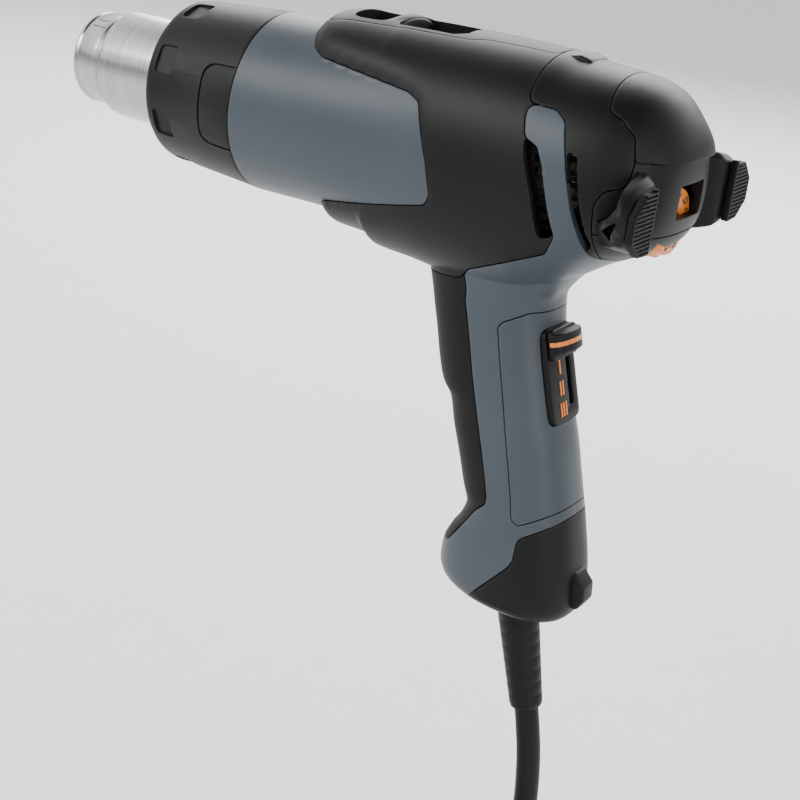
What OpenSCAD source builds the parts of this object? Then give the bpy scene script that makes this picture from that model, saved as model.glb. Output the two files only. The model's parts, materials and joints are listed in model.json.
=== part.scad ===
// Corded hot-air gun: pistol grip below the centre of gravity, nozzle along -X, up is +Z,
// the gun's left side is -Y. The origin is the centre of the hand's grip on the handle.

/* [Body] */
// Height of the barrel axis above the grip centre
axis_z = 85; // [80:0.5:90]
// Wall of the moulded housings
wall = 2.6; // [2:0.1:3.5]
// Points round each cross-section of the housings
ring_n = 32; // [24:4:64]
// Points round each cross-section of the handle
grip_n = 28; // [24:4:64]
// Width of the raised strip along the top, at its front
strip_w = 27; // [18:1:28]

/* [Hot end] */
// Outlet diameter, which the slip-on nozzles fit
outlet_d = 34; // [30:0.5:40]
// Diameter of the heater tube behind the outlet
tube_d = 39.5; // [36:0.5:42]
// Sheet thickness of the heater tube
tube_wall = 0.8; // [0.5:0.1:1.5]
// X of the outlet's front edge
outlet_x = -195; // [-200:1:-190]
// X where the outlet steps up to the tube
step_x = -181.5; // [-186:0.5:-178]
// X of the front of the protective sleeve
sleeve_x = -149.3; // [-152:0.1:-146]
// X of the seam between sleeve and housing
seam_x = -108.5; // [-112:0.5:-105]
// Number of air windows round the sleeve
sleeve_windows = 8; // [6:1:12]

/* [Fan and motor] */
// Tip radius of the fan
fan_r = 25.2; // [22:0.1:26]
// Number of fan blades
fan_blades = 9; // [5:1:11]
// Radius of the motor can
can_r = 15.5; // [13:0.5:17]
// Radius of the motor shaft
shaft_r = 1.6; // [1.2:0.1:2.5]

/* [Controls] */
// Radius of the temperature wheel
wheel_r = 12.2; // [11:0.1:14]
// Width of the temperature wheel
wheel_w = 7; // [3:0.5:8]
// Travel of the airflow slide between its end stages
slide_travel = 18; // [12:0.5:24]

/* [Stand feet] */
// X of the plane that the gun stands on, nozzle up
stand_x = 49.5; // [48:0.5:52]
// Distance across the two feet
feet_w = 89; // [80:1:96]

/* [Cord] */
// Diameter of the mains cord
cord_d = 8.8; // [7:0.1:10]
// Height of the surface that the coil lies on, below the grip centre
floor_z = -240; // [-260:1:-200]

/* [Hidden] */
$fn = 64;
black = [0.07, 0.07, 0.08];
soft_black = [0.10, 0.10, 0.11];
slate = [0.42, 0.46, 0.49];
orange = [0.96, 0.55, 0.10];
steel = [0.76, 0.76, 0.77];
dark_steel = [0.45, 0.46, 0.48];
brass = [0.80, 0.66, 0.32];
mica = [0.78, 0.70, 0.55];
board_green = [0.12, 0.35, 0.22];
ivory = [0.86, 0.84, 0.78];
copper = [0.76, 0.45, 0.28];
gap = 0.3;
slide_lean = 16.5;
slide_x = 13.7;
slide_z = 19;
wheel_x = 36.8;
wheel_z = 78.8;
duct_r = 28.2;
boot_x = 11.18;
boot_z = -64.03;
boot_lean = 14.4;
boot_len = 44.1;
coil_x = -24.4;
coil_y = -75;
coil_in = 44.6;
coil_out = 53.4;

// Housing cross-sections along the barrel: x, height above axis, depth below, half width, fullness.
body_rows = [
  [seam_x, 31.7, 31.7, 31.7, 2],
  [-98, 31.9, 31.6, 32, 2],
  [-90, 32.2, 31.3, 32.3, 2.02],
  [-87.5, 34, 31.1, 32.4, 2.06],
  [-85, 36.4, 31, 32.5, 2.1],
  [-77, 37.9, 31, 32.7, 2.15],
  [-74.5, 38.1, 34.6, 32.8, 2.15],
  [-57, 38.6, 36, 33.1, 2.18],
  [-54.5, 38.7, 38.8, 33.1, 2.2],
  [-42, 38.8, 39.6, 33.3, 2.2],
  [-28, 38.8, 41, 33.5, 2.2],
  [-12, 38.7, 42, 33.5, 2.2],
  [0, 38.3, 40, 33.5, 2.2],
  [8, 37.2, 36, 33.4, 2.2],
  [18, 36.4, 29.5, 33, 2.2],
  [27, 35.6, 23.5, 31.8, 2.2],
  [34, 33.9, 19.8, 29.6, 2.2],
  [39, 31, 17.2, 26.6, 2.15],
  [42.5, 27, 15, 23, 2.12],
  [45, 21.6, 12.4, 18.6, 2.1],
  [46.5, 15.6, 9, 13.4, 2.05],
  [47.2, 9, 5.4, 7.8, 2],
];

// Handle cross-sections: z, front x, rear x, half width.
grip_rows = [
  [-66.4, 3, 29.5, 13.5],
  [-65, -5, 32.4, 17],
  [-62.6, -12, 33.9, 19.4],
  [-59.5, -16, 34.4, 20.6],
  [-55, -17.5, 34.2, 21],
  [-50, -17.3, 33.6, 21],
  [-44, -15.2, 32.4, 20.6],
  [-38, -11.8, 31, 19.8],
  [-32, -10.2, 29.6, 19],
  [-25, -12.8, 27.8, 18.7],
  [-15, -16.2, 25.1, 18.5],
  [-5, -19.8, 22.4, 18.5],
  [5, -22.8, 18.9, 18.5],
  [9, -26.2, 17.6, 18.5],
  [15, -28.5, 15.8, 18.5],
  [25, -31, 12.8, 18.5],
  [35, -33.7, 10.5, 18.7],
  [44, -36, 9.3, 19.3],
  [50, -38, 12.5, 20.3],
  [56, -40, 18, 22],
  [62, -43, 26, 24.5],
  [68, -46, 34, 27],
];

// Side outlines (x, z) that the joint lines between the mouldings follow.
shroud_line = [
  [-120, 135], [-87.5, 135], [-87.5, 115], [-83, 110.5], [-78, 108.5], [-40, 105],
  [-35, 103], [-32, 96], [-28, 86], [-25.5, 76], [-27, 72], [-47, 67],
  [-74, 61], [-76, 57], [-76, 35], [-120, 35],
];
band_line = [
  [-18, 48], [-13, 53], [15, 66], [18.5, 73], [15, 84], [12, 93], [9, 98.5],
  [4, 100.5], [1, 110], [11, 109.5], [15, 107], [18, 99], [21, 90], [24, 81],
  [26.5, 74], [27.5, 67.5], [34, 65.5], [60, 50], [60, -80], [-60, -80], [-60, 43],
];
rear_line = [
  [0, 135], [0, 119], [1, 110], [11, 109.5], [15, 107], [18, 99], [21, 90], [24, 81],
  [26.5, 74], [27.5, 67.5], [34, 65.5], [60, 50], [60, 135],
];
cap_line = [
  [22, 135], [24, 118], [26, 112], [31, 110], [36, 106], [38, 99], [38, 92],
  [32, 90], [30, 86], [30, 40], [80, 40], [80, 135],
];
pad_line = [
  [-70, 60], [-18, 60], [-15, 45], [-15, 41], [-9, 17], [-5, 3], [-1, -10], [3, -24],
  [3, -27], [-1, -31], [-11, -47], [-30, -50], [-70, -50],
];
palm_line = [
  [60, 41], [6, 41], [-1, 37], [-2.5, 35], [0, 24], [5, 5], [12, -22], [13.5, -29],
  [16, -30.5], [31, -22], [60, -19],
];
base_line = [
  [60, -26], [31, -26], [17, -35], [17, -43], [15.5, -46], [3, -61], [-2, -90], [60, -90],
];
front_slot = [
  [4, 100.5], [9, 98.5], [12, 93], [15, 84], [18.5, 73], [13.5, 71], [10, 84], [5.5, 95],
];
rear_slot = [
  [18.8, 99], [22, 98.5], [25.5, 85], [29.3, 72], [27.2, 69.5], [24.4, 81], [21.4, 90],
];
strip_plan = [
  [-86, -10], [-83, -strip_w / 2], [-56, -13], [-31, -12], [-24, -9.5], [-0.2, -8],
  [-0.2, 8], [-24, 9.5], [-31, 12], [-56, 13], [-83, strip_w / 2], [-86, 10],
];

function sg(v) = v < 0 ? -1 : 1;
function bulge(c, n) = sg(c) * pow(abs(c), 2 / n);
function body_ring(s, t, dx, m) =
  [for (i = [0:m - 1])
    let (c = cos(i * 360 / m), q = sin(i * 360 / m), h = q >= 0 ? s[1] : s[2])
    [s[0] + dx, (s[3] - t) * bulge(c, s[4]), axis_z + (h - t) * bulge(q, s[4])]];
function grip_ring(s, t, dz, m) =
  [for (i = [0:m - 1])
    let (c = cos(i * 360 / m), q = sin(i * 360 / m), mid = (s[1] + s[2]) / 2)
    [mid + ((s[2] - s[1]) / 2 - t) * bulge(c, 2.5), (s[3] - t) * bulge(q, 2.5), s[0] + dz]];

module skin(rings) {
  n = len(rings);
  m = len(rings[0]);
  pts = [for (r = rings) for (p = r) p];
  walls = [for (k = [0:n - 2]) for (i = [0:m - 1]) let (j = (i + 1) % m)
    [k * m + i, (k + 1) * m + i, (k + 1) * m + j, k * m + j]];
  ends = [[for (i = [0:m - 1]) i], [for (i = [m - 1:-1:0]) (n - 1) * m + i]];
  polyhedron(points = pts, faces = concat(walls, ends));
}

module body_solid() {
  skin([for (s = body_rows) body_ring(s, 0, 0, ring_n)]);
}

module body_hollow(t = wall) {
  last = len(body_rows) - 2;
  skin([for (i = [0:last])
    body_ring(body_rows[i], t, i == 0 ? -1 : i > 12 ? -t * pow((i - 12) / (last - 12), 2) : 0, ring_n)]);
}

module grip_solid() {
  skin([for (s = grip_rows) grip_ring(s, 0, 0, grip_n)]);
}

module grip_hollow() {
  last = len(grip_rows) - 1;
  skin([for (i = [2:last]) grip_ring(grip_rows[i], wall, i == 2 ? -1 : 0, grip_n)]);
}

module side(outline) {
  rotate([90, 0, 0])
    linear_extrude(height = 200, center = true)
      polygon(outline);
}

module half(s) {
  translate([-200, s < 0 ? -100 : 0, -120])
    cube([300, 100, 300]);
}

module moulding(blend = true) {
  difference() {
    intersection() {
      union() {
        body_solid();
        if (blend) grip_solid();
      }
      children();
    }
    body_hollow();
    if (blend) grip_hollow();
  }
}

module along_x(x0, x1, r) {
  translate([x0, 0, axis_z])
    rotate([0, 90, 0])
      cylinder(h = x1 - x0, r = r);
}

module ring_x(x0, x1, ro, ri) {
  difference() {
    along_x(x0, x1, ro);
    along_x(x0 - 1, x1 + 1, ri);
  }
}

module turned(profile) {
  translate([0, 0, axis_z])
    rotate([0, 90, 0])
      rotate_extrude()
        polygon(profile);
}

module across(x, z, y0, y1, r) {
  translate([x, y1, z])
    rotate([90, 0, 0])
      cylinder(h = y1 - y0, r = r);
}

module top_zone() {
  translate([0, 0, 100])
    linear_extrude(height = 40)
      polygon(strip_plan);
}

body_screws = [[-30, 50.4], [-20, 114]];
grip_screws = [[-7, 45.5], [8, -36]];

module bosses(spots, s) {
  intersection() {
    for (p = spots)
      across(p[0], p[1], s < 0 ? -30 : 0, s < 0 ? 0 : 30, 4.6);
    children();
  }
}

module screw_bores(spots, s) {
  for (p = spots) {
    if (s < 0) across(p[0], p[1], -9, 1, 1.5);
    if (s > 0) across(p[0], p[1], -1, 40, 1.7);
    if (s > 0) across(p[0], p[1], 8, 40, 3.1);
  }
}

module grip_moulding() {
  difference() {
    intersection() {
      grip_solid();
      children();
    }
    grip_hollow();
  }
}

module main_shell(s) {
  color(black)
    difference() {
      union() {
        moulding()
          difference() {
            half(s);
            side(shroud_line);
            side(band_line);
            side(rear_line);
            side(front_slot);
            top_zone();
          }
        bosses(body_screws, s)
          body_solid();
      }
      screw_bores(body_screws, s);
    }
}

module shell_left() {
  main_shell(-1);
}

module shell_right() {
  main_shell(1);
}

module front_shroud() {
  color(slate)
    moulding(false)
      difference() {
        side(shroud_line);
        top_zone();
      }
}

module top_strip() {
  color(soft_black)
    difference() {
      moulding(false)
        top_zone();
      translate([-76.5, -10.6, 100])
        cube([14, 21.2, 40]);
      translate([-57.5, -10.4, 100])
        cube([24, 20.8, 40]);
    }
}

module rear_housing() {
  color(black)
    union() {
      moulding()
        difference() {
          side(rear_line);
          side(cap_line);
          side(rear_slot);
        }
      intersection() {
        translate([1, -5, 119])
          cube([11, 10, 5.4]);
        translate([6.5, 0, 60])
          rotate([90, 0, 0])
            cylinder(h = 30, r = 64.2, center = true);
      }
    }
}

module rear_cap() {
  color(black)
    difference() {
      moulding()
        intersection() {
          side(rear_line);
          side(cap_line);
        }
      translate([0, 0, 80.9])
        linear_extrude(height = 11.1)
          polygon([[20, -4], [45.6, -4], [47, -8.6], [60, -8.6], [60, 10], [20, 10]]);
      translate([wheel_x - 0.5, 0, wheel_z])
        rotate([0, 90, 0])
          cylinder(h = wheel_w + 1, r = wheel_r + 0.6);
    }
}

module handle_shell(s) {
  color(slate)
    difference() {
      union() {
        moulding()
          difference() {
            intersection() {
              half(s);
              side(band_line);
            }
            side(pad_line);
            side(palm_line);
            side(base_line);
            side(front_slot);
            side(rear_slot);
          }
        bosses(grip_screws, s)
          grip_solid();
      }
      screw_bores(grip_screws, s);
    }
}

module handle_left() {
  handle_shell(-1);
}

module handle_right() {
  handle_shell(1);
}

module front_pad() {
  color(soft_black)
    grip_moulding()
      intersection() {
        side(pad_line);
        side(band_line);
      }
}

module slide_frame_at() {
  translate([slide_x, 0, slide_z])
    rotate([0, -slide_lean, 0])
      children();
}

module palm_panel() {
  color(slate)
    difference() {
      grip_moulding()
        side(palm_line);
      slide_frame_at()
        translate([-4, -9.4, -16.2])
          cube([20, 18.8, 32.9]);
    }
}

module base_cap() {
  color(black)
    difference() {
      union() {
        intersection() {
          grip_solid();
          side(base_line);
        }
        intersection() {
          translate([28, -4, -62])
            cube([11, 8, 16]);
          across(29, -54, -10, 10, 9.4);
        }
      }
      grip_hollow();
      boot_at()
        translate([0, 0, -30])
          cylinder(h = 60, r = 6.2);
    }
}

module intake_screen(s) {
  difference() {
    intersection() {
      body_hollow(wall + gap);
      half(s);
      side([[3, 102], [24, 101], [31, 70], [12, 69.5], [7, 88]]);
    }
    body_hollow(wall + gap + 0.8);
    intersection() {
      side([[6.5, 100], [21.5, 99.5], [27.5, 71], [14.5, 71], [9.5, 88]]);
      for (k = [0:7])
        translate([0, s < 0 ? -60 : 0, 71.5 + 3.7 * k])
          cube([34, 60, 2.2]);
    }
  }
}

module intake_screens() {
  color(dark_steel)
    for (s = [-1, 1])
      intake_screen(s);
}

foot_plan = [
  [24, 74], [30.3, 75], [38, 75.5], [feet_w / 2, 80.5], [feet_w / 2 - 0.3, 88],
  [38, 94], [30.3, 95.4], [22, 96],
];

// Stand foot sections, from the body outwards: distance from the middle, front x, lowest and highest z.
foot_rows = [
  [20, 20, 71, 97.5, 36],
  [23.5, 24, 72, 97.5, 41.5],
  [27.5, 29, 73.5, 97.2, stand_x - 2.5],
  [31, 32, 74.5, 96.6, stand_x - 2.5],
  [35, 34.5, 75.5, 95.4, stand_x - 2.5],
  [39, 36.5, 77, 93.5, stand_x - 2.5],
  [42.5, 38.5, 79, 90.5, stand_x - 2.5],
  [feet_w / 2, 41, 81, 88, stand_x - 2.5],
];

function foot_ring(r, s) =
  let (c = min(3.5, (r[3] - r[2]) / 2 - 1),
       ring = [[r[1] + c, r[2]], [r[4], r[2]], [r[4], r[3] - 2], [r[4] - 3, r[3]], [r[1] + c, r[3]],
               [r[1], r[3] - c], [r[1], r[2] + c]])
  [for (p = ring) [p[0], s * r[0], p[1]]];

module foot(s) {
  color(black)
    difference() {
      skin(s < 0 ? [for (r = foot_rows) foot_ring(r, s)]
                 : [for (i = [len(foot_rows) - 1:-1:0]) foot_ring(foot_rows[i], s)]);
      body_solid();
      rotate([90, 0, 0])
        translate([0, 0, s < 0 ? 37 : -57])
          linear_extrude(height = 20)
            polygon([[37.5, 81], [44.5, 86.5], [41.5, 79.5]]);
    }
}

module foot_left() {
  foot(-1);
}

module foot_right() {
  foot(1);
}

module rubber_pad(s) {
  difference() {
    translate([stand_x - 2.5, 0, 0])
      rotate([90, 0, 90])
        linear_extrude(height = 2.5)
          polygon([for (p = foot_plan) if (p[0] > 30) [s * p[0], p[1]]]);
    for (k = [0:8])
      translate([stand_x - 0.8, s < 0 ? -60 : 20, 76.6 + 2.1 * k])
        cube([3, 40, 0.9]);
  }
}

module rubber_pads() {
  color(soft_black)
    for (s = [-1, 1])
      rubber_pad(s);
}

module outlet_tube() {
  color(steel)
    turned([
      [outlet_d / 2 - tube_wall, outlet_x],
      [outlet_d / 2, outlet_x],
      [outlet_d / 2, step_x - 1],
      [outlet_d / 2 - 0.6, step_x - 0.6],
      [outlet_d / 2 - 0.6, step_x],
      [tube_d / 2 - 1.6, step_x],
      [tube_d / 2 - 0.5, step_x + 0.6],
      [tube_d / 2, step_x + 1.8],
      [tube_d / 2, -84],
      [26.5, -84],
      [26.5, -83],
      [tube_d / 2 - tube_wall, -83],
      [tube_d / 2 - tube_wall, step_x + 1.2],
      [outlet_d / 2 - tube_wall - 0.6, step_x + 1.2],
      [outlet_d / 2 - tube_wall - 0.6, step_x - 1],
      [outlet_d / 2 - tube_wall, step_x - 1.6],
    ]);
}

module heat_shield() {
  color(steel)
    turned([
      [22.6, -138],
      [23.2, -138],
      [23.2, -96],
      [25.4, -92],
      [25.4, -84.2],
      [24.8, -84.2],
      [24.8, -91.7],
      [22.6, -95.7],
    ]);
}

module protective_sleeve() {
  color(black)
    difference() {
      turned([
        [22, sleeve_x + 0.8],
        [22.8, sleeve_x],
        [27, sleeve_x],
        [28.4, sleeve_x + 0.7],
        [29.2, sleeve_x + 2.2],
        [31.7, seam_x - 0.4],
        [28.6, seam_x - 0.4],
        [28.6, seam_x + 7],
        [26.6, seam_x + 7],
        [26.6, seam_x - 4],
        [26.4, sleeve_x + 6],
        [25.4, sleeve_x + 2.6],
        [22, sleeve_x + 2.6],
      ]);
      for (k = [0:sleeve_windows - 1])
        translate([sleeve_x + 8, 0, axis_z])
          rotate([(k + 0.5) * 360 / sleeve_windows, 0, 0])
            translate([-4, -5.5, 28])
              cube([8, 11, 10]);
      for (a = [90, 270])
        translate([0, 0, axis_z])
          rotate([a, 0, 0])
            translate([-136, -12, 29.7])
              cube([24, 24, 6]);
    }
}

module sleeve_grips() {
  color(soft_black)
    for (a = [90, 270])
      translate([0, 0, axis_z])
        rotate([a, 0, 0])
          for (k = [0:4])
            translate([-133 + 4.2 * k, -10, 29.7])
              cube([2.2, 20, 0.9]);
}

module mica_liner() {
  color(mica)
    ring_x(-178, -86, tube_d / 2 - tube_wall - 0.25, tube_d / 2 - tube_wall - 1.2);
}

module element_core() {
  color(mica)
    difference() {
      union() {
        for (a = [0, 60, 120])
          translate([-134, 0, axis_z])
            rotate([a, 0, 0])
              cube([80, 1.6, 34.6], center = true);
        along_x(-174, -94, 3.4);
      }
      for (k = [0:14])
        translate([-169 + 5 * k, 0, axis_z])
          rotate([0, 90, 0])
            rotate_extrude()
              translate([13.2, 0])
                square([8, 1.6]);
    }
}

module heating_coils() {
  color(copper)
    for (k = [0:14])
      translate([-168.2 + 5 * k, 0, axis_z])
        rotate([0, 90, 0])
          rotate_extrude()
            translate([14.2, 0])
              circle(r = 0.6);
}

module element_collar() {
  color(ivory)
    difference() {
      ring_x(-92, -88, 17.2, 14.6);
      along_x(-100, -80, 14.6);
    }
}

module thermal_sensor() {
  color(steel)
    union() {
      translate([-86, 0, axis_z])
        rotate([0, 90, 0])
          cylinder(h = 10, r = 1.5);
      translate([-86, 0, axis_z])
        sphere(r = 1.5);
    }
}

module air_duct() {
  color(ivory)
    difference() {
      turned([
        [19.5, -82.6],
        [26.5, -82.6],
        [26.5, -78],
        [duct_r, -62],
        [duct_r, -40],
        [duct_r - 1.8, -40],
        [duct_r - 1.8, -62],
        [19.5, -79],
      ]);
    }
}

module sensor_bridge() {
  color(ivory)
    difference() {
      union() {
        translate([-78, -1.5, axis_z - 19])
          cube([3, 3, 38]);
        along_x(-78, -75, 4);
      }
      along_x(-80, -70, 1.6);
    }
}

module motor_mount() {
  color(ivory)
    difference() {
      union() {
        ring_x(-39.8, -35, duct_r, duct_r - 3);
        for (a = [0:60:300])
          translate([-37.4, 0, axis_z])
            rotate([a, 0, 0])
              translate([-1.6, -1.5, can_r + 0.6])
                cube([3.2, 3, duct_r - can_r - 2]);
        ring_x(-39.8, -33, can_r + 2, can_r);
        ring_x(-39.8, -38, can_r + 1, 6.2);
      }
      along_x(-50, -30, 6.2);
    }
}

module motor_can() {
  color(dark_steel)
    difference() {
      along_x(-37.8, 2, can_r - 0.05);
      along_x(-36.2, 3, can_r - 1.2);
      along_x(-40, 5, 4.02);
      for (a = [45:90:315])
        translate([-8, 0, axis_z])
          rotate([a, 0, 0])
            translate([-4, -3, 10])
              cube([8, 6, 10]);
    }
}

module motor_magnets() {
  color([0.25, 0.25, 0.27])
    difference() {
      ring_x(-33, -13, can_r - 1.25, can_r - 3.6);
      translate([-50, -2, axis_z - 20])
        cube([60, 4, 40]);
    }
}

module motor_endcap() {
  color(ivory)
    difference() {
      union() {
        along_x(2.05, 6, can_r);
        along_x(6, 9, 6);
      }
      along_x(0, 4.2, can_r - 4);
      along_x(0, 12, 4.02);
    }
}

module brush_holders() {
  color(brass)
    for (s = [-1, 1])
      translate([-5, s * 9.2 - 2, axis_z - 2])
        cube([9.2, 4, 4]);
}

module motor_bearings() {
  color(steel)
    for (x = [-37.6, 4.4])
      ring_x(x, x + 3.6, 4, shaft_r + 0.02);
}

module rotor_shaft() {
  color(steel)
    along_x(-58, 10.5, shaft_r);
}

module armature() {
  color(copper)
    difference() {
      turned([
        [shaft_r, -31], [11.5, -31], [11.5, -15], [3.2, -15],
        [3.2, -11], [5, -11], [5, -3], [shaft_r, -3],
      ]);
      for (k = [0:5])
        translate([-34, 0, axis_z])
          rotate([k * 60, 0, 0])
            translate([0, -1.3, 6.5])
              cube([22, 2.6, 8]);
    }
}

module fan() {
  color([0.16, 0.16, 0.18])
    difference() {
      union() {
        along_x(-56, -43.4, 8);
        for (k = [0:fan_blades - 1])
          intersection() {
            translate([-49.7, 0, axis_z])
              rotate([k * 360 / fan_blades, 0, 0])
                rotate([0, 0, 34])
                  translate([-7.5, -0.6, 7])
                    cube([15, 1.2, fan_r - 6]);
            ring_x(-56, -43.4, fan_r, 6);
          }
      }
      along_x(-60, -40, shaft_r);
    }
}

module dial_at(x) {
  translate([x, 0, wheel_z])
    rotate([0, 90, 0])
      children();
}

module dial_wheel() {
  color(orange)
    dial_at(wheel_x)
      difference() {
        cylinder(h = wheel_w, r = wheel_r);
        translate([0, 0, -1])
          cylinder(h = wheel_w + 2, r = 2);
        translate([0, 0, -1])
          difference() {
            cylinder(h = 2.6, r = wheel_r - 2);
            cylinder(h = 2.6, r = 4.4);
          }
        for (k = [0:35])
          rotate([0, 0, k * 10])
            translate([wheel_r, 0, wheel_w / 2])
              rotate([0, 0, 45])
                cube([0.7, 0.7, wheel_w + 2], center = true);
      }
}

module dial_axle() {
  color(ivory)
    union() {
      dial_at(25.6)
        cylinder(h = wheel_x + wheel_w - 26.2, r = 2);
      dial_at(wheel_x + wheel_w - 0.6)
        cylinder(h = 1, r = 1.9);
    }
}

module dial_carrier() {
  color(black)
    difference() {
      union() {
        translate([34.6, -10.5, 71.6])
          cube([1.6, 21, 16]);
        for (s = [-1, 1])
          translate([28.75, s * 8.9 - 1.6, 71.6])
            cube([6, 3.2, 14]);
      }
      dial_at(20)
        cylinder(h = 40, r = 2.05);
    }
}

module dial_encoder() {
  color([0.15, 0.25, 0.45])
    difference() {
      translate([28.75, -6.5, wheel_z - 6])
        cube([5.6, 13, 12]);
      dial_at(20)
        cylinder(h = 40, r = 2.05);
    }
}

module dial_board() {
  color(board_green)
    difference() {
      translate([27.1, -12, 69.5])
        cube([1.6, 24, 19]);
      dial_at(20)
        cylinder(h = 40, r = 2.4);
    }
}

module slide_carriage() {
  color(soft_black)
    slide_frame_at()
      union() {
        translate([-4.8, -4.8, 3])
          cube([2.9, 10.8, 17 - 3]);
        translate([-2, 3, 8.4])
          cube([4.1, 2.4, 6]);
      }
}

module slide_knob() {
  color(soft_black)
    slide_frame_at()
      difference() {
        translate([2.1, 0, 11.4])
          rotate([0, 90, 0])
            intersection() {
              cylinder(h = 4, r = 9.1);
              translate([-5, -10, 0])
                cube([10, 20, 5]);
            }
        translate([5.3, -10, 10.8])
          cube([3, 20, 1.6]);
      }
}

module slide_line() {
  color(orange)
    slide_frame_at()
      translate([5.3, -8.6, 10.9])
        cube([1, 17.2, 1.4]);
}

module slide_track() {
  color(soft_black)
    slide_frame_at()
      difference() {
        translate([-1.6, -9.1, -15.9])
          cube([3, 18.2, 32.3]);
        translate([-3, 2.6, -11.5])
          cube([12, 3.4, 27]);
      }
}

module stage_marks() {
  color(orange)
    slide_frame_at()
      for (k = [0:2])
        for (j = [0:k])
          translate([1.4, -1.4 - 0.8 * k + 1.6 * j - 0.4, 0.8 - 7 * k])
            cube([0.3, 0.8, 4.6]);
}

module slide_switch() {
  color([0.2, 0.2, 0.22])
    slide_frame_at()
      difference() {
        translate([-13.3, -6, -18])
          cube([8.2, 12.6, 36]);
        translate([-8, 2, -16])
          cube([4, 4, 32]);
      }
}

module control_board() {
  color(board_green)
    translate([-10.4, 0, 24])
      rotate([0, -slide_lean, 0])
        translate([-6, -13, -34])
          cube([1.6, 26, 66]);
}

module board_parts() {
  color([0.18, 0.19, 0.21])
    translate([-10.4, 0, 24])
      rotate([0, -slide_lean, 0])
        union() {
          translate([-4.35, -10, -30])
            cube([6, 9, 12]);
          translate([-4.35, 3, -30])
            cube([5, 7, 16]);
          translate([-4.35, -8, 6])
            cube([3, 16, 5]);
        }
}

module suppressor_can() {
  color([0.75, 0.62, 0.25])
    translate([-10.4, 0, 24])
      rotate([0, -slide_lean, 0])
        translate([-4.35, -7, 16])
          cube([6.5, 13, 9]);
}

module heat_sink() {
  color([0.78, 0.79, 0.80])
    translate([-10.4, 0, 24])
      rotate([0, -slide_lean, 0])
        union() {
          translate([-7.7, -10, -4])
            cube([1.6, 20, 24]);
          for (k = [0:4])
            translate([-12.4, -10 + 4.7 * k, -4])
              cube([4.8, 1.2, 24]);
        }
}

module terminal_block() {
  color(ivory)
    difference() {
      translate([4, -9, -31])
        cube([9, 18, 10]);
      for (y = [-4.5, 4.5])
        translate([8.5, y, -40])
          cylinder(h = 30, r = 2);
      for (y = [-4.5, 4.5])
        translate([3, y, -26])
          rotate([0, 90, 0])
            cylinder(h = 5, r = 1.6);
    }
}

module boot_at() {
  translate([boot_x, 0, boot_z])
    rotate([0, 180 - boot_lean, 0])
      children();
}

module cord_clamp() {
  color([0.22, 0.22, 0.24])
    difference() {
      translate([-1, -13, -54])
        cube([22, 26, 5]);
      boot_at()
        translate([0, 0, -30])
          cylinder(h = 60, r = cord_d / 2 + 0.02);
      for (y = [-9.5, 9.5])
        translate([9.5, y, -60])
          cylinder(h = 12, r = 1.5);
    }
}

module clamp_screws() {
  color(steel)
    for (y = [-9.5, 9.5])
      translate([9.5, y, 0])
        union() {
          translate([0, 0, -53.5])
            cylinder(h = 4.5, r = 1.45);
          translate([0, 0, -49])
            cylinder(h = 2, r = 2.8);
        }
}

module housing_screws() {
  color(dark_steel)
    for (p = concat(body_screws, grip_screws))
      difference() {
        union() {
          across(p[0], p[1], -8.6, 8.2, 1.45);
          across(p[0], p[1], 8.05, 10.4, 2.9);
        }
        translate([p[0] - 0.4, 9.4, p[1] - 1.8])
          cube([0.8, 2, 3.6]);
        translate([p[0] - 1.8, 9.4, p[1] - 0.4])
          cube([3.6, 2, 0.8]);
      }
}

module strain_boot() {
  color(soft_black)
    difference() {
      boot_at()
        union() {
          translate([0, 0, -6])
            cylinder(h = 11, r = 6.15);
          translate([0, 0, -6])
            cylinder(h = 2.6, r = 8.6);
          translate([0, 0, 4.8])
            cylinder(h = boot_len - 4.8, r1 = 7, r2 = 5.8);
        }
      boot_at()
        translate([0, 0, -20])
          cylinder(h = 80, r = cord_d / 2 + 0.01);
      for (k = [0:6])
        boot_at()
          translate([0, 0, 9 + 5 * k])
            difference() {
              cylinder(h = 1.8, r = 9);
              cylinder(h = 1.8, r = 5.35 - 0.04 * k);
              translate([-1.5, -10, -1])
                cube([3, 20, 4]);
            }
    }
}

// Route of the cord from the clamp to the coil, and from the coil to the plug.
drop_route = [
  [6.2, -44.8], [12.2, -68], [22.15, -106.7], [24.6, -117], [26.5, -127], [28, -140],
  [28.8, -155], [29, -170],
];
drop_turn = [
  [29, -0.7, -180], [29, -3.2, -189], [29, -8, -197.6], [29, -14.5, -205],
  [29, -22.8, -211], [29, -32.6, -215.2], [29, -43.5, -217.4], [29, -55, -218],
  [29, -75, -218],
];
tail_route = [
  [-77.8, -75, -235.6], [-77.8, -64, -235.6], [-77.8, -52, -235.2], [-77.8, -40, -233.6],
  [-77.8, -30.6, -232.1],
];

function unit3(v) = v / norm(v);
function tube_ring(c, d, r, m) =
  let (ref = abs(d[1]) > 0.85 ? [1, 0, 0] : [0, 1, 0],
       a = unit3(cross(ref, d)), b = cross(d, a))
  [for (i = [0:m - 1]) c + r * cos(i * 360 / m) * a + r * sin(i * 360 / m) * b];
function tangent(p, i) =
  unit3(p[min(i + 1, len(p) - 1)] - p[max(i - 1, 0)]);
function blend_ring(p, i, r, m) =
  let (d = tangent(p, i), a = unit3(cross([1, 0, 0], d)), b = cross(d, a))
  [for (k = [0:m - 1]) p[i] + r * cos(k * 360 / m) * a + r * sin(k * 360 / m) * b];

module cord_along(path) {
  skin([for (i = [0:len(path) - 1]) blend_ring(path, i, cord_d / 2, 10)]);
}

module cord() {
  color(soft_black)
    difference() {
      union() {
        cord_along(concat([for (p = drop_route) [p[0], 0, p[1]]], drop_turn));
        cord_along(tail_route);
      }
      coil_ring(0.5);
    }
}

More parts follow.
